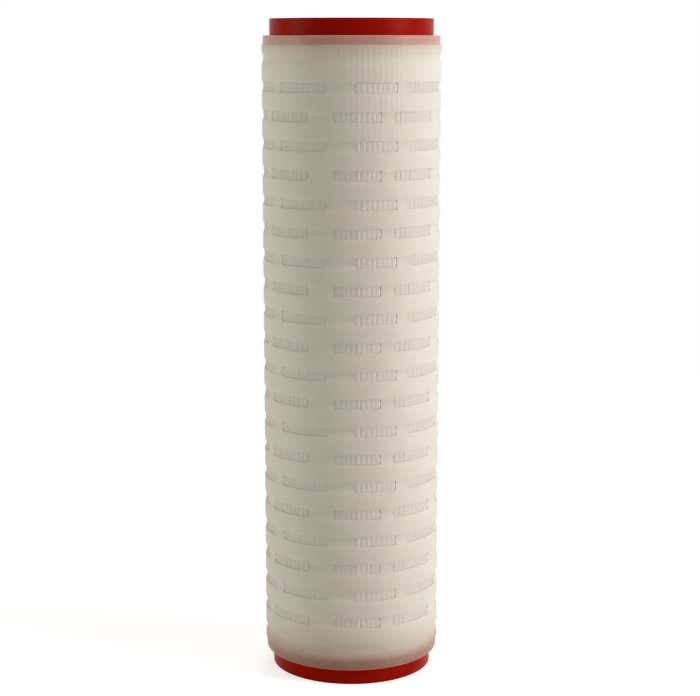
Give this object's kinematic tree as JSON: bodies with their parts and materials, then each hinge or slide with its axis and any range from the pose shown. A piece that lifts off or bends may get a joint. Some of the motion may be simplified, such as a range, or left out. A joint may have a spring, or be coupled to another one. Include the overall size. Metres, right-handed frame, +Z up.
{
  "type": "washable filter cartridge",
  "caption": "Pleated filter cartridge, open at both ends, with a slotted translucent outer cage, a slotted core and red flat end gaskets.",
  "frame": {"origin": "centre of the lower gasket's free face, on the cartridge's axis", "axes": "+Z up the cartridge's axis from the lower gasket to the upper one; the picture is taken from the -Y side, with +X to the right"},
  "size_m": [0.0686, 0.0686, 0.254],
  "materials": {
    "silicone_gasket": "smooth red silicone rubber, cut from flat sheet",
    "end_cap_polypropylene": "natural polypropylene, melted on, translucent with a soft gloss",
    "cage_polypropylene": "natural polypropylene, injection moulded, translucent with a satin gloss",
    "core_polypropylene": "natural polypropylene, injection moulded",
    "drainage_fleece": "spunbonded white polypropylene fleece, pleated",
    "filter_membrane": "smooth white membrane, pleated"
  },
  "bodies": {
    "root": {"upper_gasket": "silicone_gasket", "lower_gasket": "silicone_gasket", "upper_end_cap": "end_cap_polypropylene", "lower_end_cap": "end_cap_polypropylene", "outer_cage": "cage_polypropylene", "inner_core": "core_polypropylene", "upstream_drainage_sheet": "drainage_fleece", "filter_medium": "filter_membrane", "downstream_drainage_sheet": "drainage_fleece"}
  },
  "joints": []
}
